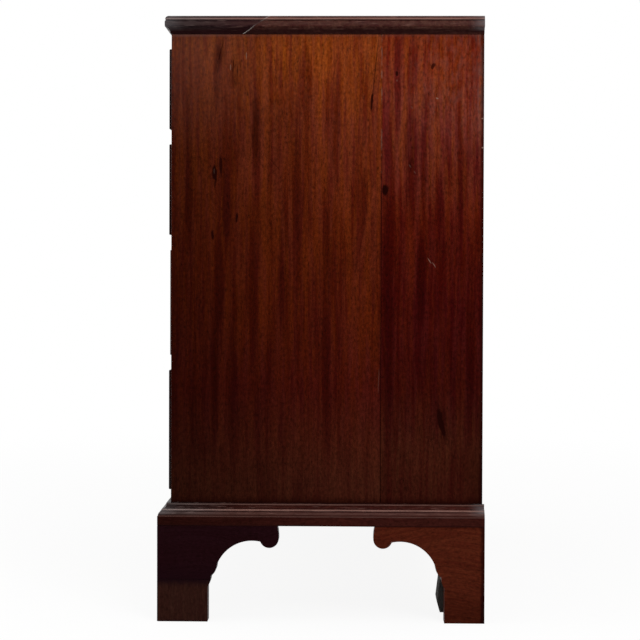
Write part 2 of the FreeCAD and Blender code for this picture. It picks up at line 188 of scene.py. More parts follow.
def parts_of(finish, place, axes="XYZ"):
    """The named parts of a place, such as its Y and Z, each as a value."""
    return [finish.node("ShaderNodeSeparateXYZ", None, {0: place}, axis) for axis in axes]


def spots(finish, across, up, marks, ragged, core=0.5, rim=1.4):
    """One mask for a row of ragged oval marks, full inside the core and gone at the rim."""
    total = 0.0
    uneven = ragged * RAGGED_RIM
    for middle, height, half_width, half_height, lean, strength in marks:
        above = up - height
        beside = across - middle - above * lean if lean else across - middle
        sideways, upward = beside / half_width, above / half_height
        oval = sideways * sideways + upward * upward + uneven
        total = total + rise(finish, oval, core, rim, strength, 0.0)
    return held(finish, total)


print("patterns ready")

# %% [markdown]
# The grain of a board is long in one direction. "x", "y" and "z" name that direction, and "level" means
# long in both level directions, which suits brackets and mouldings that turn a corner: each of their
# upright faces then shows level grain, as it should.

# %% Grain direction
def grain(along, across, length):
    """The size of a grain pattern that is long along an axis."""
    return [length if axis in {"level": "xy"}.get(along, along) else across for axis in "xyz"]


print("a streak 1 mm across and 10 mm long, along z, is", grain("z", 0.001, 0.010))

# %% [markdown]
# Mahogany shows four things at arm's length: broad ribbons where the fibres lean one way and the other,
# streaks a few millimetres wide inside them, fibres as thin as hair, and short dark pores. Ribbons and
# streaks differ in hue, orange brown beside a purple brown, so their noise is handed to a function that
# picks the colour, and the rest only changes the brightness. A second function may then add wear, and on
# some pieces painted light and shade as well: it gets the finished colour, and returns it with the depth
# of what is sunk into the wood. Old polish is a warm thin film, so its gloss is weak and tinted, and the
# roughness drifts as hand rubbing does.

# %% A board of wood
SHELLAC_TINT = (0.60, 0.14, 0.09, 1.0)
WEAK_GLOSS = 0.08
LAYERS = ((1.0, 1.0), (0.36, 0.50), (0.15, 0.25))
LAYER_SHARES = (0.16, 0.34, 0.50)
FIBRE = (0.0017, 0.0060)
MOTTLE = (0.0036, 0.0042)
PORE = (0.0009, 0.0070)
CLOUD = (0.05, 0.05, 0.05)
DRIFT = (0.16, 0.16, 0.16)
MIDDLE_SPREAD = 2.1
GRAIN_DEPTH = 0.0004


def wood(name, along, colours, offset, ribbon=0.022, length=0.30, contrast=0.75, gloss=0.36,
         pores=0.3, tint=SHELLAC_TINT, wander=0.006, wear_and_light=None):
    """A wooden finish. colours(finish, place, mix) gives the colour for the mixed noise of the ribbons."""
    finish = Finish(name)
    place = finish.node("ShaderNodeTexCoord", None, None, "Object")
    shifted = finish.node("ShaderNodeVectorMath", {"operation": "ADD"}, {0: place, 1: offset})
    drift = noise(finish, shifted, DRIFT, 1.0) - 0.5
    bend = [0.0 if reach > ribbon else wander * 2 for reach in grain(along, ribbon, length)]
    bent = finish.node("ShaderNodeVectorMath", {"operation": "SCALE"}, {0: bend, "Scale": drift})
    line = finish.node("ShaderNodeVectorMath", {"operation": "ADD"}, {0: shifted, 1: bent})
    ribbons, streaks, threads = [
        noise(finish, line, grain(along, ribbon * width, length * reach), 1.5) for width, reach in LAYERS
    ]
    fibres = noise(finish, line, grain(along, *FIBRE), 1.0)
    mottle = noise(finish, line, grain(along, *MOTTLE), 2.0, 0.6)
    clouds = noise(finish, shifted, CLOUD, 3.0)
    pore = rise(finish, noise(finish, line, grain(along, *PORE), 0.0), 0.62, 0.76)
    mix = ribbons * LAYER_SHARES[0] + streaks * LAYER_SHARES[1] + threads * LAYER_SHARES[2]
    spread = threads * 0.6 + fibres * 1.3 + mottle * 1.7 + clouds * 0.6 - MIDDLE_SPREAD
    brightness = held(finish, 1.0 + spread * contrast - pore * pores, 0.0, 2.0)
    base = tinted(finish, colours(finish, place, mix), brightness)
    height = fibres * 0.25 - pore * 0.5
    if wear_and_light:
        base, sunk = wear_and_light(finish, place, base)
        height = height - sunk
    relief = {"Strength": 0.3, "Distance": GRAIN_DEPTH, "Height": height}
    shader = finish.node("ShaderNodeBsdfPrincipled", None, {
        "Base Color": base, "Roughness": gloss + clouds * 0.14 - 0.07 + pore * 0.1,
        "Normal": finish.node("ShaderNodeBump", None, relief),
        "Specular IOR Level": WEAK_GLOSS, "Specular Tint": tint,
    })
    finish.node("ShaderNodeOutputMaterial", None, {"Surface": shader})
    return finish.material


print("wood ready")

# %% [markdown]
# The right-hand side is what the eye meets first. It is two boards glued edge to edge. Noise alone would
# put streaks just anywhere, so the broadest dark and pale ones of the real boards are listed one by one,
# as long thin ovals. Beside the seam the grain of the front board slants, and some pale ovals slant with
# it.

# %% Streaks of the sides
FRONT_DARK = (
    (0.0225, 0.588, 0.0050, 0.100, 0.00, 0.9), (0.0300, 0.270, 0.0060, 0.110, 0.00, 0.5),
    (0.0590, 0.715, 0.0050, 0.050, 0.00, 0.6), (0.0625, 0.440, 0.0060, 0.060, 0.00, 0.9),
    (0.0585, 0.310, 0.0050, 0.100, 0.00, 0.7), (0.0720, 0.545, 0.0060, 0.060, 0.00, 0.8),
    (0.0815, 0.300, 0.0060, 0.140, 0.02, 0.8), (0.1095, 0.640, 0.0050, 0.070, 0.00, 0.9),
    (0.1070, 0.430, 0.0050, 0.100, 0.00, 0.4), (0.1475, 0.455, 0.0065, 0.120, 0.00, 0.8),
    (0.1640, 0.570, 0.0065, 0.120, 0.00, 0.8), (0.2025, 0.410, 0.0060, 0.170, 0.00, 0.7),
    (0.2160, 0.660, 0.0060, 0.090, 0.00, 0.4), (0.2527, 0.545, 0.0045, 0.050, 0.00, 0.5),
    (0.1765, 0.705, 0.0070, 0.050, 0.00, 0.6),
)
FRONT_PALE = (
    (0.0110, 0.600, 0.0050, 0.100, 0.00, 0.7), (0.0500, 0.715, 0.0045, 0.045, 0.00, 0.6),
    (0.0694, 0.321, 0.0045, 0.140, 0.045, 1.0), (0.1005, 0.640, 0.0045, 0.130, 0.00, 0.5),
    (0.1205, 0.500, 0.0055, 0.280, 0.00, 0.9), (0.1643, 0.232, 0.0055, 0.070, 0.00, 0.7),
    (0.1916, 0.585, 0.0060, 0.150, 0.058, 0.6), (0.2690, 0.440, 0.0035, 0.240, 0.01, 0.6),
    (0.2465, 0.468, 0.0026, 0.095, 0.195, 0.9), (0.2545, 0.500, 0.0016, 0.075, 0.195, 0.7),
    (0.2390, 0.390, 0.0016, 0.040, 0.240, 0.7), (0.2160, 0.265, 0.0014, 0.060, 0.030, 0.6),
    (0.2480, 0.330, 0.0210, 0.140, 0.00, 0.7),
)
REAR_DARK = (
    (0.2830, 0.420, 0.0070, 0.280, 0.00, 0.7), (0.2940, 0.700, 0.0050, 0.070, 0.00, 0.6),
    (0.3290, 0.610, 0.0050, 0.080, 0.00, 0.7), (0.3255, 0.445, 0.0060, 0.060, 0.00, 1.0),
    (0.3510, 0.540, 0.0035, 0.050, 0.00, 0.5), (0.3770, 0.590, 0.0042, 0.100, 0.00, 0.8),
    (0.3890, 0.360, 0.0055, 0.130, 0.00, 0.6), (0.3490, 0.270, 0.0045, 0.050, 0.00, 0.4),
    (0.3120, 0.600, 0.0085, 0.080, 0.00, 0.7), (0.3140, 0.725, 0.0070, 0.040, 0.00, 0.5),
)
REAR_PALE = (
    (0.3100, 0.450, 0.0045, 0.055, 0.00, 0.7), (0.3420, 0.590, 0.0040, 0.090, 0.00, 0.6),
    (0.3680, 0.590, 0.0040, 0.080, 0.00, 0.5), (0.3890, 0.545, 0.0045, 0.050, 0.00, 0.6),
    (0.3620, 0.230, 0.0045, 0.070, 0.00, 0.6),
)
print("set", len(FRONT_DARK + FRONT_PALE + REAR_DARK + REAR_PALE), "streaks by hand")

# %% [markdown]
# The front board is orange brown near the top and sinks to a deep red brown lower down, and the rear one
# is redder; the lighter top is partly fading and partly painted light from above. So the height picks the
# light colour of each board from a ramp, and the dark one is the same pulled towards purple. The ovals
# only push the noise towards dark or light, so the fine streaks run on through them, and a slower noise
# lets the dark ones fade and return. Another noise turns some streaks a little orange and others a little
# purple.
# The boards also darken towards the front, which is painted shade, and their streaks grow faint towards
# the floor.

# %% Colours of the sides
# These ramps grow lighter towards the top, partly from fading and partly as painted light from above.
FRONT_LIGHT = (
    (0.08, (0.046, 0.0108, 0.0068)), (0.28, (0.053, 0.0055, 0.0025)), (0.45, (0.077, 0.0101, 0.0024)),
    (0.62, (0.096, 0.0142, 0.0034)), (0.82, (0.138, 0.0240, 0.0062)), (0.90, (0.180, 0.0340, 0.0062)),
    (0.97, (0.236, 0.0495, 0.0080)),
)
REAR_LIGHT = (
    (0.06, (0.040, 0.0086, 0.0056)), (0.16, (0.045, 0.0098, 0.0056)), (0.28, (0.038, 0.0038, 0.0022)),
    (0.45, (0.053, 0.0046, 0.0025)), (0.62, (0.078, 0.0084, 0.0028)), (0.84, (0.155, 0.0300, 0.0118)),
    (0.97, (0.178, 0.0290, 0.0066)),
)
DARKER = (0.50, 0.33, 0.42)
REDDER = (0.50, 0.24, 0.36)
TOWARDS_ORANGE = (1.02, 1.02, 0.74)
TOWARDS_PURPLE = (0.97, 0.95, 1.38)
MIDDLE_MIX = 0.495
SIDE_SPREAD = 0.155
PUSH = 0.18
LIFT = 0.15
SOFT_OVAL = (0.0, 1.5)
WAVER = (0.06, 0.06, 0.20)
WAVER_WIDTH = 0.008
FADING = (0.03, 0.03, 0.16)
HUE_STREAK = (0.008, 0.008, 0.11)
# The sides are darkened towards the front; that darkening is painted shade.
SHADE_START = -0.03
SIDE_SHADE = 0.42


def two_tone(finish, mix, light, darker=DARKER, spread=0.143):
    """Light and dark streaks of one colour, from the mixed noise of the ribbons."""
    dark = blend(finish, 1.0, light, darker, "MULTIPLY")
    return blend(finish, rise(finish, mix, MIDDLE_MIX - spread, MIDDLE_MIX + spread), light, dark)


def side_colours(stops, darker, dark_streaks, pale_streaks):
    """Colour by height, with the listed dark and pale streaks, darker towards the front."""
    def colours(finish, place, mix):
        y, z = parts_of(finish, place, "YZ")
        height = (z - case_low) / (case_high - case_low)
        waver = noise(finish, place, WAVER, 2.0) - 0.5
        across = y - case_front + waver * WAVER_WIDTH
        fading = rise(finish, noise(finish, place, FADING, 2.0), 0.30, 0.62, 0.5, 1.3)
        push = spots(finish, across, z, dark_streaks, waver * 0.5, *SOFT_OVAL) * fading
        lift = spots(finish, across, z, pale_streaks, waver * 0.5, *SOFT_OVAL)
        mix = mix + push * PUSH - lift * LIFT
        low_down = rise(finish, height, 0.0, 0.35, 0.35, 0.0)
        mix = mix + (0.5 - mix) * low_down
        # The height ramp is partly painted light from above.
        tone = two_tone(finish, mix, ramp(finish, height, stops), darker, SIDE_SPREAD)
        purple = rise(finish, noise(finish, place, HUE_STREAK, 2.0), 0.38, 0.64)
        purple = purple * rise(finish, height, 0.10, 0.36)
        hue = blend(finish, purple, TOWARDS_ORANGE, TOWARDS_PURPLE)
        tone = blend(finish, 1.0, tone, hue, "MULTIPLY")
        # Painted shade towards the front.
        shade = rise(finish, across, SHADE_START, 0.25, SIDE_SHADE, 1.0)
        return tinted(finish, tone, shade * (1.0 - push * 0.2))
    return colours


print("each side board has", len(FRONT_LIGHT), "colours by height")

# %% [markdown]
# Two centuries have left their marks. Some are dark, such as small knots, a crack and a hole beside the
# seam. Some are stains, which are soft and streaky, and some are pale flecks and scratches. Each is one
# oval, as the broad streaks are.

# %% Marks of the sides
DARK_MARKS = (
    (0.0564, 0.584, 0.0036, 0.0098, 0.05, 1.00), (0.0644, 0.593, 0.0019, 0.0125, -0.05, 0.90),
    (0.0856, 0.525, 0.0019, 0.0062, 0.02, 0.95), (0.0538, 0.503, 0.0018, 0.0062, -0.05, 0.95),
    (0.2609, 0.676, 0.0016, 0.0115, 0.06, 0.90), (0.2657, 0.720, 0.0007, 0.0360, 0.10, 0.60),
    (0.2788, 0.562, 0.0038, 0.0080, 0.00, 1.00), (0.2934, 0.713, 0.0017, 0.0032, 0.00, 0.90),
    (0.3406, 0.723, 0.0027, 0.0042, 0.40, 0.80), (0.1350, 0.595, 0.0008, 0.0085, -0.90, 0.45),
    (0.3525, 0.260, 0.0038, 0.0190, -0.19, 0.85), (0.0805, 0.722, 0.0007, 0.0085, 0.02, 0.50),
    (0.0862, 0.716, 0.0006, 0.0075, 0.00, 0.45), (0.0905, 0.726, 0.0006, 0.0060, 0.05, 0.55),
    (0.0640, 0.741, 0.0008, 0.0110, 0.25, 0.30), (0.0574, 0.571, 0.0014, 0.0085, 0.08, 0.80),
)
STAINS = (
    (0.0640, 0.738, 0.0062, 0.0190, 0.22, 0.6), (0.0818, 0.715, 0.0060, 0.0180, 0.05, 0.5),
    (0.3128, 0.594, 0.0034, 0.0080, 0.00, 0.9), (0.3554, 0.257, 0.0060, 0.0240, -0.19, 0.6),
    (0.1100, 0.640, 0.0040, 0.0300, 0.00, 0.5),
)
LIGHT_MARKS = (
    (0.3460, 0.681, 0.0016, 0.0012, -0.60, 0.50), (0.3368, 0.4700, 0.0006, 0.0036, -0.60, 0.50),
    (0.3428, 0.4645, 0.0006, 0.0036, -0.60, 0.40), (0.4055, 0.617, 0.0016, 0.0010, 0.00, 0.70),
    (0.4050, 0.655, 0.0016, 0.0008, 0.00, 0.55), (0.0975, 0.736, 0.0006, 0.0045, 0.00, 0.35),
    (0.2712, 0.312, 0.0006, 0.0170, 0.02, 0.10), (0.0560, 0.586, 0.0009, 0.0036, 0.00, 0.07),
    (0.3134, 0.669, 0.0012, 0.0020, -0.50, 0.10), (0.3112, 0.593, 0.0009, 0.0022, -0.60, 0.12),
    (0.3172, 0.585, 0.0008, 0.0018, -0.60, 0.12), (0.2934, 0.704, 0.0010, 0.0012, 0.00, 0.13),
    (0.0771, 0.721, 0.0007, 0.0040, 0.00, 0.30),
)
print("placed", len(DARK_MARKS) + len(LIGHT_MARKS) + len(STAINS), "marks")

# %% [markdown]
# Marks are mixed over the finished colour, and dark ones are sunk as well, so the light catches them. A
# pale band lies under the top, a painted highlight lies near the rear edge, and a faint bloom lies in the
# upper corners. Above the base the wood is darker, from dirt and painted shade, and it is darker too along
# the rear edge and in the lower rear corner. The glue between the boards shows as a thin line, pale above
# and dark below. The left-hand side takes every second streak and mark, and other noise.

# %% Wear, painted highlight and painted shade of the sides
NEAR_BLACK = (0.0075, 0.0007, 0.0005)
MARK_PALE = (0.25, 0.158, 0.122)
HAZE_AND_HIGHLIGHT = (0.120, 0.058, 0.048)
BLOOM = (0.270, 0.110, 0.095)
RAGGED = (0.004, 0.004, 0.012)
STREAKY = (0.003, 0.003, 0.020)
BLOOM_PATCH = (0.006, 0.006, 0.016)
GLUE_BREAKS = (0.02, 0.02, 0.010)
GLUE_WIDTH = (0.0003, 0.0011)
GLUE_TURNS_PALE = (0.54, 0.64)
STAIN_OVAL = (0.0, 2.2)
SUNK = 0.7


def side_wear_and_light(dark_marks, light_marks, stains):
    """Marks, a pale band, a painted highlight, dirt and painted shade on a side."""
    def wear_and_light(finish, place, base):
        y, z = parts_of(finish, place, "YZ")
        ragged = noise(finish, place, RAGGED, 3.0) - 0.5
        streaky = rise(finish, noise(finish, place, STREAKY, 2.0), 0.35, 0.65)
        across = y - case_front + ragged * 0.0016
        from_back = case_back - y + ragged * 0.006
        # A pale band under the top, and a painted highlight near the rear edge
        under_top = rise(finish, case_high - z + ragged * 0.003, 0.0008, 0.0050, 1.0, 0.0)
        under_top = under_top * rise(finish, across, 0.0, 0.14, 0.5, 0.2)
        rear_edge = rise(finish, from_back, 0.0020, 0.0170, 0.5, 0.0)
        rear_edge = rear_edge * rise(finish, z, 0.60, 0.68) * streaky
        bloom = rise(finish, z, 0.60, 0.76, 0.0, 0.08) * rise(finish, across, 0.02, 0.15, 1.0, 0.0)
        patches = rise(finish, noise(finish, place, BLOOM_PATCH, 3.0, 0.6), 0.40, 0.66, 0.0, 0.11)
        bloom = bloom + patches * rise(finish, z, 0.58, 0.70) * rise(finish, across, 0.28, 0.37, 0.2, 1.0)
        base = blend(finish, bloom, base, BLOOM)
        base = blend(finish, held(finish, under_top + rear_edge), base, HAZE_AND_HIGHLIGHT)
        # The glue line
        glue = rise(finish, abs(y - seam + ragged * 0.0008), *GLUE_WIDTH, 1.0, 0.0)
        broken = rise(finish, noise(finish, place, GLUE_BREAKS, 2.0), 0.42, 0.62)
        pale_glue = glue * broken * rise(finish, z, *GLUE_TURNS_PALE, 0.0, 0.34)
        base = blend(finish, pale_glue, base, MARK_PALE)
        dark = glue * rise(finish, z, *GLUE_TURNS_PALE, 0.6, 0.0)
        # Dirt and painted shade above the base, and darker along the rear edge and in the lower rear
        # corner
        dark = dark + rise(finish, z - base_high.z + ragged * 0.010, 0.0, 0.012, 0.5, 0.0)
        dark = dark + rise(finish, from_back, 0.0014, 0.0060, 0.78, 0.0)
        corner = rise(finish, from_back, 0.004, 0.030, 0.40, 0.0)
        dark = dark + corner * rise(finish, z, 0.17, 0.27, 1.0, 0.0)
        # Single marks
        stained = spots(finish, across, z, stains, ragged, *STAIN_OVAL) * (streaky + 0.4) * 0.7
        dark = dark + spots(finish, across, z, dark_marks, ragged * 1.5) + stained
        dark = held(finish, dark)
        base = blend(finish, dark, base, NEAR_BLACK)
        base = blend(finish, spots(finish, across, z, light_marks, ragged), base, MARK_PALE)
        return base, dark * SUNK
    return wear_and_light


for hand, jump, step in (("right", 0.0, 1), ("left", 3.7, 2)):
    boards = (
        ("front", FRONT_LIGHT, DARKER, FRONT_DARK, FRONT_PALE, (jump, 0.3, 0.1)),
        ("rear", REAR_LIGHT, REDDER, REAR_DARK, REAR_PALE, (jump, 1.9, 0.7)),
    )
    wear_and_light = side_wear_and_light(DARK_MARKS[::step], LIGHT_MARKS[::step], STAINS[::step])
    for board, stops, darker, dark_streaks, pale_streaks, offset in boards:
        colours = side_colours(stops, darker, dark_streaks[::step], pale_streaks[::step])
        finish = wood("%s_%s_board_mahogany" % (hand, board), "z", colours, offset, wear_and_light=wear_and_light)
        nodes["%s_side_%s_board" % (hand, board)].material_slots[0].material = finish
print("sides finished")

# %% [markdown]
# The base moulding and the edge of the top are nearly black in their hollows, from dirt and painted shade,
# and pale on the parts that stand out, from rubbing and painted highlights. Both follow the height, so
# each
# line is a level band: its height, half width, colour and strength. Scratches and grey ends start at the
# first band of a list. Both ends are grey, partly from knocks and partly as painted highlights, and the
# front one has lost some of its colour as well. A length of the top's edge is a repair, let in with a
# sloping joint, which shows as a pale thin line low down and again near the top.

# %% Rubbed mouldings, painted highlights and painted shade
# The pale colours here are painted highlights over real rubbing, the near black one is dirt and painted
# shade in the hollows, and the grey is knocks and painted highlights at the ends.
RUBBED_AND_HIGHLIGHT = (0.21, 0.112, 0.092)
DIM_RUBBED_AND_HIGHLIGHT = (0.075, 0.036, 0.030)
HOLLOW_DIRT_AND_SHADE = (0.007, 0.0022, 0.0026)
GREY_WEAR_AND_HIGHLIGHT = (0.150, 0.152, 0.160)
JOINT_PALE = (0.30, 0.26, 0.24)
JOINT_RUN = 0.035
WORN_PATCH = (0.030, 0.030, 0.004)
SCRATCH = (0.020, 0.020, 0.0011)
BASE_BANDS = (
    (0.0124, 0.0009, DIM_RUBBED_AND_HIGHLIGHT, 0.9), (0.0160, 0.0018, DIM_RUBBED_AND_HIGHLIGHT, 0.70), (0.0182, 0.0006, HOLLOW_DIRT_AND_SHADE, 0.5),
    (0.0199, 0.0011, RUBBED_AND_HIGHLIGHT, 0.90), (0.0266, 0.0009, RUBBED_AND_HIGHLIGHT, 0.45), (0.0284, 0.0008, HOLLOW_DIRT_AND_SHADE, 0.9),
    (0.0006, 0.0010, HOLLOW_DIRT_AND_SHADE, 0.6),
)
TOP_BANDS = (
    (0.0028, 0.0042, HOLLOW_DIRT_AND_SHADE, 0.85), (0.0125, 0.0022, DIM_RUBBED_AND_HIGHLIGHT, 0.30), (0.0166, 0.0007, HOLLOW_DIRT_AND_SHADE, 0.9),
    (0.0186, 0.0013, RUBBED_AND_HIGHLIGHT, 0.80), (0.0217, 0.0014, HOLLOW_DIRT_AND_SHADE, 0.7),
)


def moulding_wear_and_light(foot, bands, front_y, back_y, joint=None):
    """Level bands of rubbing and painted highlight, and of dirt and painted shade, above a height, broken
    by wear, with grey ends that are partly painted highlight, and a pale sloping joint.
    """
    def wear_and_light(finish, place, base):
        x, y, z = parts_of(finish, place)
        patchy = noise(finish, place, WORN_PATCH, 3.0)
        up = z - foot + (patchy - 0.5) * 0.0006
        # Painted highlights and painted shade, with rubbing and dirt, as level bands.
        for height, half_width, colour, strength in bands:
            line = rise(finish, abs(up - height), 0.4 * half_width, 1.3 * half_width, strength, 0.0)
            base = blend(finish, line * rise(finish, patchy, 0.25, 0.55, 0.55, 1.0), base, colour)
        start = bands[0][0]
        rubbed = rise(finish, up, start, start + 0.004)
        scratch = rise(finish, noise(finish, place, SCRATCH, 2.0), 0.57, 0.70, 0.0, 0.25)
        base = blend(finish, scratch * rubbed, base, RUBBED_AND_HIGHLIGHT)
        at_side = rise(finish, abs(x), side_face - 0.025, side_face)
        near = rise(finish, y - front_y + patchy * 0.03, 0.03, 0.13, 0.45, 0.0) * at_side * rubbed
        base = finish.node("ShaderNodeHueSaturation", None, {"Saturation": 1.0 - near, "Color": base})
        # Grey ends: knocks, and painted highlights where the moulding turns the corner.
        ends = rise(finish, y - front_y + patchy * 0.02, 0.006, 0.040, 0.30, 0.0)
        ends = ends + rise(finish, back_y - y + patchy * 0.02, 0.006, 0.034, 0.50, 0.0)
        ends = ends * rubbed * rise(finish, patchy, 0.35, 0.60, 0.3, 1.0) * at_side
        base = blend(finish, ends, base, GREY_WEAR_AND_HIGHLIGHT)
        if joint:
            start_y, slope = joint
            past = y - start_y - (z - foot) * slope + patchy * 0.0016
            gap = rise(finish, abs(past), 0.0004, 0.0012, 0.75, 0.0)
            low_down = rise(finish, up, 0.006, 0.012, 1.0, 0.1)
            near_top = rise(finish, up, 0.014, 0.018, 0.0, 0.6)
            gap = gap * (low_down + near_top) * rise(finish, x, 0.0, 0.01)
            base = blend(finish, gap, base, JOINT_PALE)
        return base, patchy * 0.2
    return wear_and_light


joint_slope = JOINT_RUN / (top_high.z - top_low.z)
splice_joint = (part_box("top_edge_splice")[1].y - JOINT_RUN, joint_slope)
base_wear_and_light = moulding_wear_and_light(base_low.z, BASE_BANDS, base_low.y, base_high.y)
edge_wear_and_light = moulding_wear_and_light(top_low.z, TOP_BANDS, top_low.y, top_high.y, splice_joint)
print("base bands", len(BASE_BANDS), "and top bands", len(TOP_BANDS))

# %% [markdown]
# The top is one wide board with its grain along the chest. Its moulded edge is darker than the flat,
# because the end grain drinks the polish, so the distance from the edge decides between the two.

# %% The top
TOP_LIGHT = (0.120, 0.0260, 0.0080)
TOP_EDGE = (0.072, 0.0280, 0.0200)
EDGE_WIDTH = 0.006
RUBS = (0.20, 0.02, 0.02)


def top_colours(finish, place, mix):
    """One colour along the moulded edge and another on the flat."""
    x, y = parts_of(finish, place, "XY")
    from_edges = {0: top_high.x - abs(x), 1: y - top_low.y}
    inside = finish.node("ShaderNodeMath", {"operation": "MINIMUM"}, from_edges)
    flat = rise(finish, inside, EDGE_WIDTH, EDGE_WIDTH * 2.0)
    return two_tone(finish, mix, blend(finish, flat, TOP_EDGE, TOP_LIGHT))


def top_wear_and_light(finish, place, base):
    """Bands of rubbing and painted highlight, and of dirt and painted shade, on the edge, and light rubs
    along the flat.
    """
    z = parts_of(finish, place, "Z")[0]
    worn, sunk = edge_wear_and_light(finish, place, base)
    on_edge = rise(finish, z, top_high.z - 0.0012, top_high.z - 0.0002, 1.0, 0.0)
    rubs = rise(finish, noise(finish, place, RUBS, 4.0, 0.6), 0.52, 0.70)
    return blend(finish, on_edge, tinted(finish, base, 1.0 + rubs * 0.35), worn), sunk


top_finish = wood("top_mahogany", "x", top_colours, (0.2, 0.5, 0.3), 0.028, 0.8, gloss=0.34,
                  wander=0.02, wear_and_light=top_wear_and_light)
nodes["top_board"].material_slots[0].material = top_finish
print("top finished")

# %% [markdown]
# The rear feet are darker along their rear edge, which is painted shade, and towards the floor, and a dark
# line runs just under the moulding. One front foot was tipped with a new piece, and old stain has run over
# that joint, so the wood is darkest there and the stain fades both ways.

# %% Wear and painted shade of the feet
JOINT_STAIN = (0.0042, 0.0013, 0.0030)
RAGGED_DIRT = (0.004, 0.004, 0.010)
RAGGED_STAIN = (0.006, 0.006, 0.004)
tip_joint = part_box("front_right_foot_tip")[1].z


def rear_foot_wear_and_shade(finish, place, base):
    """Painted shade along the rear edge, darker near the floor, and a dark line just under the moulding.
    """
    y, z = parts_of(finish, place, "YZ")
    ragged = noise(finish, place, RAGGED_DIRT, 3.0) - 0.5
    # Painted shade along the rear edge.
    darkening = rise(finish, base_high.y - y + ragged * 0.006, 0.0022, 0.0075, 0.85, 0.0)
    darkening = darkening + rise(finish, z + ragged * 0.010, 0.0, 0.060, 0.35, 0.0)
    darkening = held(finish, darkening + rise(finish, base_low.z - z + ragged * 0.002, 0.0, 0.0022, 0.6, 0.0))
    return blend(finish, darkening, base, NEAR_BLACK), darkening


def tip_wear(finish, place, base):
    """Old stain that has run over the joint on to the new tip, and dirt at the floor."""
    z = parts_of(finish, place, "Z")[0]
    ragged = noise(finish, place, RAGGED_STAIN, 3.0) - 0.5
    stain = rise(finish, tip_joint - z + ragged * 0.006, 0.0, 0.012, 0.9, 0.0)
    darkening = rise(finish, z + ragged * 0.004, 0.0, 0.004, 0.5, 0.0)
    return blend(finish, held(finish, stain + darkening), base, JOINT_STAIN), 0.0


def front_foot_wear(finish, place, base):
    """Dark stain above the joint with the new tip, on the right-hand foot only."""
    x, z = parts_of(finish, place, "XZ")
    ragged = noise(finish, place, RAGGED_STAIN, 3.0) - 0.5
    above = z - tip_joint + ragged * 0.006
    stain = rise(finish, above, 0.0, 0.030, 0.55, 0.0) * rise(finish, above, -0.012, 0.0)
    return blend(finish, stain * rise(finish, x, 0.0, 0.01), base, JOINT_STAIN), 0.0


print("the new tip is", round(tip_joint, 4), "high")

# %% [markdown]
# The other mahogany pieces each get a light and a dark colour, with grain that runs the way the board
# was cut: along the rails, the drawer fronts and the mouldings, and level on the brackets of the feet.
# Only on the new tip does the grain stand upright.

# %% Other mahogany pieces
DRAWERS = range(1, 5)
DRAWER_LIGHT = (0.120, 0.0240, 0.0070)
BEAD_LIGHT = (0.014, 0.0055, 0.0050)
SHADE_END = 0.30


def one_light(light, front_shade=1.0, darker=DARKER):
    """Light and dark streaks of one colour, with painted shade towards the front."""
    def colours(finish, place, mix):
        y = parts_of(finish, place, "Y")[0]
        tone = two_tone(finish, mix, light, darker)
        return tinted(finish, tone, rise(finish, y - case_front, SHADE_START, SHADE_END, front_shade, 1.0))
    return colours


SOFTER = (0.66, 0.54, 0.60)
# Each row holds the pieces, the grain, the light colour, the painted shade at the front end, the gloss and
# the wear.
MAHOGANY = (
    (("top_edge_splice",), "y", (0.024, 0.0088, 0.0102), 1.0, 0.40, edge_wear_and_light),
    (("top_rail", "bottom_rail", "divider_rails"), "x", (0.085, 0.016, 0.0055), 1.0, 0.36, None),
    (("base_moulding_front", "base_moulding_left", "base_moulding_right"), "level",
     (0.0345, 0.0078, 0.0056), 0.45, 0.34, base_wear_and_light),
    # The front feet are far darker than the rear feet: that is painted shade at the front.
    (("front_left_foot", "front_right_foot"), "level",
     (0.0094, 0.0023, 0.0040), 1.0, 0.42, front_foot_wear),
    (("front_right_foot_tip",), "z", (0.0268, 0.0098, 0.0066), 1.0, 0.5, tip_wear),
    (("rear_left_foot", "rear_right_foot"), "level", (0.070, 0.0130, 0.0054), 1.0, 0.42, rear_foot_wear_and_shade),
)
for number, (names, along, light, front_shade, gloss, wear_and_light) in enumerate(MAHOGANY):
    offset = (0.41 * number, 0.17 * number, 0.29 * number)
    colours = one_light(light, front_shade, SOFTER)
    finish = wood(names[0] + "_mahogany", along, colours, offset, 0.010, contrast=0.6, gloss=gloss,
                  wander=0.03, wear_and_light=wear_and_light)
    for name in names:
        nodes[name].material_slots[0].material = finish
for number in DRAWERS:
    drawer = "drawer_%d_" % number
    shift = (0.9 * number, 0.0, 0.37 * number)
    front = wood(drawer + "front_mahogany", "x", one_light(DRAWER_LIGHT), shift, 0.022, 0.5, wander=0.02)
    bead = wood(drawer + "bead_mahogany", "level", one_light(BEAD_LIGHT), shift, 0.006)
    nodes[drawer + "front"].material_slots[0].material = front
    nodes[drawer + "cock_bead"].material_slots[0].material = bead
print("mahogany finished")

# %% [markdown]
# Inside, the chest is bare oak and pine, never polished, only browned by two centuries of air. Bare wood
# is dull and pale next to the polished outside, so it gets a high roughness and no tint, and its dark
# streaks are brown. The back is four boards laid level, lapped one over the next. They came from
# different planks, so each has its own tone, and dust has darkened the joints between them.

# %% Bare oak and pine
WHITE = (1.0, 1.0, 1.0, 1.0)
BROWNER = (0.64, 0.56, 0.48)
OAK_LIGHT = (0.33, 0.185, 0.080)
BACK_BOARDS = 4
JOINT_DUST = (0.05, 0.05, 0.004)
board_height = (case_high - case_low) / BACK_BOARDS


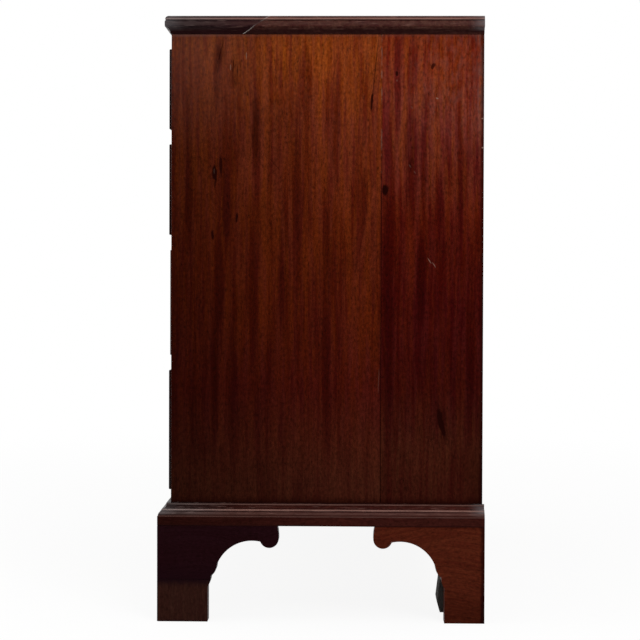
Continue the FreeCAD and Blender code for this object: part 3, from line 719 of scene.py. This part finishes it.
def back_wear(finish, place, base):
    """Tone of each back board, and the dusty joints."""
    z = parts_of(finish, place, "Z")[0]
    boards = (z - case_low) / board_height
    number = finish.node("ShaderNodeMath", {"operation": "FLOOR"}, {0: boards})
    within = finish.node("ShaderNodeMath", {"operation": "FRACT"}, {0: boards + 0.5})
    swing = finish.node("ShaderNodeMath", {"operation": "SINE"}, {0: number * 2.3 + 0.4})
    ragged = noise(finish, place, JOINT_DUST, 3.0) - 0.5
    from_joint = abs(within - 0.5) * board_height
    joint = rise(finish, from_joint + ragged * 0.0008, 0.0004, 0.0014, 0.9, 0.0)
    dust = rise(finish, from_joint + ragged * 0.010, 0.0, 0.012, 0.35, 0.0)
    toned = tinted(finish, base, 1.0 + swing * 0.16)
    return blend(finish, held(finish, joint + dust), toned, NEAR_BLACK), joint * 2.0


BARE = (
    (("drawer_runners", "top_kickers", "drawer_stops"), "y", (0.30, 0.160, 0.066), None),
    (("case_bottom", "dustboards"), "x", (0.27, 0.140, 0.058), None),
    (("back_boards",), "x", (0.200, 0.100, 0.046), back_wear),
    # The glue blocks sit in the shade under the chest, and their dark grey colour is painted shade.
    (("foot_blocks",), "z", (0.033, 0.0285, 0.0265), None),
)
for number, (names, along, light, wear_and_light) in enumerate(BARE):
    finish = wood(names[0] + "_bare_wood", along, one_light(light, 1.0, BROWNER), (0.6 * number, 0.2, 0.3),
                  gloss=0.72, pores=0.35, tint=WHITE, wear_and_light=wear_and_light)
    for name in names:
        nodes[name].material_slots[0].material = finish
for number in DRAWERS:
    drawer = "drawer_%d_" % number
    shift = (0.8 * number, 0.5 * number, 0.23 * number)
    for piece, along in (("sides", "y"), ("back", "x"), ("bottom", "x")):
        finish = wood(drawer + piece + "_oak", along, one_light(OAK_LIGHT, 1.0, BROWNER), shift,
                      gloss=0.66, pores=0.45, tint=WHITE)
        nodes[drawer + piece].material_slots[0].material = finish
print("bare wood finished")

# %% [markdown]
# The handles and locks are cast brass, filed and once lacquered, now dulled to brown in the hollows.
# Metallic is high everywhere and roughness changes with the tarnish.

# %% Old brass
TARNISH = (0.006, 0.006, 0.006)
SPECK = (0.0012, 0.0012, 0.0012)
TARNISH_DEPTH = 0.0003


def metal(name, bright, dull, speck_colour):
    """A worn metal with dull patches and dark specks."""
    finish = Finish(name)
    place = finish.node("ShaderNodeTexCoord", None, None, "Object")
    tarnish = rise(finish, noise(finish, place, TARNISH, 4.0, 0.6), 0.38, 0.66)
    specks = rise(finish, noise(finish, place, SPECK, 1.0), 0.6, 0.75)
    colour = blend(finish, tarnish * 0.8, bright, dull)
    colour = blend(finish, specks * 0.5, colour, speck_colour)
    relief = {"Strength": 0.3, "Distance": TARNISH_DEPTH, "Height": tarnish}
    shader = finish.node("ShaderNodeBsdfPrincipled", None, {
        "Base Color": colour, "Roughness": 0.28 + tarnish * 0.25, "Metallic": 1.0 - specks * 0.5,
        "Normal": finish.node("ShaderNodeBump", None, relief),
    })
    finish.node("ShaderNodeOutputMaterial", None, {"Surface": shader})
    return finish.material


old_brass = metal("old_brass", (0.52, 0.34, 0.12), (0.17, 0.085, 0.03), (0.06, 0.035, 0.02))
for name, piece in nodes.items():
    if name.endswith(("_lock", "_handle_posts", "_bail")):
        piece.material_slots[0].material = old_brass
print("brass finished")

# %% [markdown]
# Boards from a drawing have edges as sharp as a razor, and two hundred years of hands round them off.
# The corners are cut by a Bevel modifier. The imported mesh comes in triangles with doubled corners, so a
# Weld joins the corners and a planar Decimate clears the flat faces first, and weighted normals keep
# the flats flat afterwards. Modifiers leave the model's own mesh as it is. The rear feet are left out:
# two brackets of each meet flush at one corner, and a Weld would tie them into an edge of four faces.

# %% Soft edges
SOFT_EDGE = 0.0007
SAME_CORNER = 0.00002
FLAT_ANGLE = math.radians(1.0)
SHARP_ANGLE = math.radians(35)


def soften(piece, width):
    """Rounds the sharp edges of a piece to about a width."""
    weld = piece.modifiers.new("join_corners", "WELD")
    weld.merge_threshold = SAME_CORNER
    flat = piece.modifiers.new("clear_flats", "DECIMATE")
    flat.decimate_type = "DISSOLVE"
    flat.angle_limit = FLAT_ANGLE
    edge = piece.modifiers.new("worn_edges", "BEVEL")
    edge.width = width
    edge.segments = 2
    edge.limit_method = "ANGLE"
    edge.angle_limit = SHARP_ANGLE
    edge.use_clamp_overlap = True
    normals = piece.modifiers.new("flat_faces", "WEIGHTED_NORMAL")
    normals.keep_sharp = False


REAR_FEET = ("rear_left_foot", "rear_right_foot")
for name, piece in nodes.items():
    if not name.endswith(("_lock", "_handle_posts", "_bail", "_sides")) and name not in REAR_FEET:
        soften(piece, SOFT_EDGE)
print("edges softened to", SOFT_EDGE)

# %% [markdown]
# The back boards are held by hand-made nails. A smith gave such a nail its head with four or five blows
# of the hammer, and each blow left a facet, so the head is a low cone with few sides, and every nail
# differs a little. A seeded draw gives each its own size and turn. They are one piece that rides on the
# carcase, and stand just proud of the boards.

# %% Nails in the back
old_iron = metal("old_iron", (0.055, 0.046, 0.042), (0.040, 0.022, 0.014), (0.012, 0.009, 0.008))
NAIL_RADIUS = 0.0036
NAIL_HEIGHT = 0.0010
NAIL_FROM_EDGE = 0.032


def add_piece(name, mesh_form, material, body):
    """Makes an object of a finished bmesh and lets it ride on a body."""
    mesh = bpy.data.meshes.new(name)
    mesh_form.to_mesh(mesh)
    mesh_form.free()
    mesh.materials.append(material)
    piece = bpy.data.objects.new(name, mesh)
    bpy.context.scene.collection.objects.link(piece)
    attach(piece, body)


draw = random.Random(7)
form = bmesh.new()
nail_x = (side_low.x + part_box("back_boards")[1].x) / 2
for board in range(BACK_BOARDS):
    for x in (-nail_x, nail_x):
        for z in (case_low + board * board_height + NAIL_FROM_EDGE,
                  case_low + (board + 1) * board_height - NAIL_FROM_EDGE):
            radius = NAIL_RADIUS * draw.uniform(0.85, 1.15)
            head = Matrix.Translation((x + draw.uniform(-0.002, 0.002), case_back + NAIL_HEIGHT / 2, z))
            head = head @ Matrix.Rotation(math.radians(-90), 4, "X")
            head = head @ Matrix.Rotation(draw.uniform(0.0, 2.0), 4, "Z")
            bmesh.ops.create_cone(form, cap_ends=True, segments=draw.choice((5, 6)), radius1=radius,
                                  radius2=radius * draw.uniform(0.2, 0.4), depth=NAIL_HEIGHT, matrix=head)
add_piece("back_nails", form, old_iron, "carcase")
print("drove", BACK_BOARDS * 4, "nails")

# %% [markdown]
# Each lock is screwed to the back of its drawer front at four corners. Such a screw has a flat slotted
# head. We make it of two half moons with the slot between them, on a thin disc that is the slot's floor.
# No two slots point the same way, because each screw was driven until it was tight.

# %% Screws of the locks
SCREW_RADIUS = 0.0030
SCREW_HEIGHT = 0.0007
SLOT_HALF = 0.0005
SCREW_SIDE = 0.026
SCREW_BELOW_TOP = (0.009, 0.034)
ARC_STEPS = 10
UPPER_SHARE = 0.86


def half_moon(form, place, side):
    """One half of a slotted head, as an arc closed by the edge of the slot."""
    start = math.asin(SLOT_HALF / SCREW_RADIUS)
    lower, upper = [], []
    for step in range(ARC_STEPS + 1):
        angle = start + (math.pi - 2 * start) * step / ARC_STEPS
        out = Vector((math.cos(angle), math.sin(angle) * side))
        for ring, shrink, height in ((lower, 1.0, 0.0), (upper, UPPER_SHARE, SCREW_HEIGHT)):
            u = out.x * SCREW_RADIUS * shrink
            v = side * SLOT_HALF + (out.y * SCREW_RADIUS - side * SLOT_HALF) * shrink
            ring.append(form.verts.new(place @ Vector((u, v, height))))
    count = ARC_STEPS + 1
    for step in range(count):
        after = (step + 1) % count
        form.faces.new((lower[step], lower[after], upper[after], upper[step]))
    form.faces.new(upper)
    form.faces.new(lower[::-1])


for number in DRAWERS:
    lock_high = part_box("drawer_%d_lock" % number)[1]
    form = bmesh.new()
    for x in (-SCREW_SIDE, SCREW_SIDE):
        for below in SCREW_BELOW_TOP:
            place = Matrix.Translation((x, lock_high.y, lock_high.z - below))
            place = place @ Matrix.Rotation(math.radians(-90), 4, "X")
            own_turn = number + x * 40 + below * 90
            place = place @ Matrix.Rotation(own_turn, 4, "Z")
            disc = place @ Matrix.Translation((0, 0, SCREW_HEIGHT / 4))
            bmesh.ops.create_cone(form, cap_ends=True, segments=20, radius1=SCREW_RADIUS,
                                  radius2=SCREW_RADIUS, depth=SCREW_HEIGHT / 2, matrix=disc)
            half_moon(form, place, 1)
            half_moon(form, place, -1)
    bmesh.ops.recalc_face_normals(form, faces=form.faces)
    add_piece("drawer_%d_lock_screws" % number, form, old_brass, "drawer_%d" % number)
print("set four screws in each lock")

# %% [markdown]
# The floor is plain and pale. It takes the chest's shadow as a white sheet would, and the camera, and
# anything that mirrors it, also sees a share of plain white, so that the sheet fades into the white
# beyond. The share is large and grows with the distance from the chest, so only a faint shadow is seen.
# The world does the same: it is white to look at, and gives the wood a softer, dimmer light.

# %% Floor and world
FLOOR_HALF = 14.0
FADE_DISTANCE = (0.5, 2.2)
WHITE_SHARE = (0.91, 1.0)
FLECK = (0.004, 0.004, 0.004)
AMBIENT = 0.36


def seen_rays(finish):
    """1 for rays that look: from the camera, a mirror or through glass."""
    looks = [finish.node("ShaderNodeLightPath", None, None, name)
             for name in ("Is Camera Ray", "Is Glossy Ray", "Is Transmission Ray")]
    return held(finish, looks[0] + looks[1] + looks[2])


def floor_finish():
    """A pale sheet under a share of plain white."""
    finish = Finish("white_sheet")
    place = finish.node("ShaderNodeTexCoord", None, None, "Object")
    distance = finish.node("ShaderNodeVectorMath", {"operation": "LENGTH"}, {0: place}, 1)
    white_share = rise(finish, distance, *FADE_DISTANCE, *WHITE_SHARE) * seen_rays(finish)
    fleck = noise(finish, place, FLECK, 2.0)
    sheet = finish.node("ShaderNodeBsdfPrincipled", None, {
        "Base Color": ramp(finish, fleck, ((0.2, (0.82, 0.82, 0.81)), (0.8, (0.86, 0.86, 0.85)))),
        "Roughness": 0.9 + fleck * 0.05, "Specular IOR Level": 0.0,
    })
    glow = finish.node("ShaderNodeEmission", None, {0: WHITE, 1: 1.0})
    surface = finish.node("ShaderNodeMixShader", None, {0: white_share, 1: sheet, 2: glow})
    finish.node("ShaderNodeOutputMaterial", None, {"Surface": surface})
    return finish.material


sheet_mesh = bpy.data.meshes.new("floor")
corners = [(x * FLOOR_HALF, y * FLOOR_HALF, 0) for x, y in ((-1, -1), (1, -1), (1, 1), (-1, 1))]
sheet_mesh.from_pydata(corners, [], [(0, 1, 2, 3)])
floor = bpy.data.objects.new("floor", sheet_mesh)
bpy.context.scene.collection.objects.link(floor)
sheet_mesh.materials.append(floor_finish())

world = bpy.data.worlds.new("studio")
bpy.context.scene.world = world
sky = Finish("studio", world)
strength = AMBIENT + seen_rays(sky) * (1.0 - AMBIENT)
background = sky.node("ShaderNodeBackground", None, {0: WHITE, 1: strength})
sky.node("ShaderNodeOutputWorld", None, {0: background})
print("floor and world ready")

# %% [markdown]
# Three soft boxes light the chest. A wide one hangs overhead, so that every upright face is brighter
# near the top, one stands to the right of the camera, and a weak one faces the drawers.

# %% Lamps
def soft_box(name, place, aim, size, power):
    """A soft rectangular lamp that faces a point."""
    lamp = bpy.data.lights.new(name, "AREA")
    lamp.shape = "RECTANGLE"
    lamp.size, lamp.size_y = size
    lamp.energy = power
    holder = bpy.data.objects.new(name, lamp)
    holder.location = place
    holder.rotation_euler = (Vector(aim) - Vector(place)).to_track_quat("-Z", "Y").to_euler()
    bpy.context.scene.collection.objects.link(holder)


soft_box("overhead", (0.3, 0.0, 2.6), (0.0, 0.0, 0.0), (2.6, 2.2), 41.0)
soft_box("key", (1.9, 0.9, 1.9), (0.37, 0.0, 0.55), (1.0, 1.0), 26.0)
soft_box("front_fill", (0.4, -2.4, 1.5), (0.0, -0.2, 0.4), (1.4, 1.0), 21.0)
print("lamps ready")

# %% [markdown]
# The camera stands two metres from the right-hand side, a little above its middle and a little towards
# the back, and rolls by a small angle, as a camera held by hand does. The lens follows from the width of
# what it should see at that distance, and a small shift puts the chest in the middle of the picture
# without tilting the camera further.

# %% Camera
CAMERA_DISTANCE = 2.0
CAMERA_TURN = math.radians(1.1)
CAMERA_PITCH = math.radians(0.85)
CAMERA_ROLL = math.radians(0.18)
VIEW_WIDTH = 0.8346
AIM = Vector((side_face, -0.002, 0.4203))
PICTURE_MIDDLE = 0.3923
camera_data = bpy.data.cameras.new("camera")
camera_data.sensor_width = 36.0
camera_data.lens = camera_data.sensor_width * CAMERA_DISTANCE / VIEW_WIDTH
camera_data.shift_y = (PICTURE_MIDDLE - AIM.z) / VIEW_WIDTH
camera = bpy.data.objects.new("camera", camera_data)
level = math.cos(CAMERA_PITCH)
back_away = Vector((level * math.cos(CAMERA_TURN), level * math.sin(CAMERA_TURN), math.sin(CAMERA_PITCH)))
camera.location = AIM + CAMERA_DISTANCE * back_away
upright = (-back_away).to_track_quat("-Z", "Y")
camera.rotation_euler = (upright @ Quaternion((0, 0, 1), CAMERA_ROLL)).to_euler()
bpy.context.scene.collection.objects.link(camera)
bpy.context.scene.camera = camera
bpy.context.scene.view_settings.view_transform = "Standard"
print("camera with a lens of", round(camera_data.lens, 1), "mm")
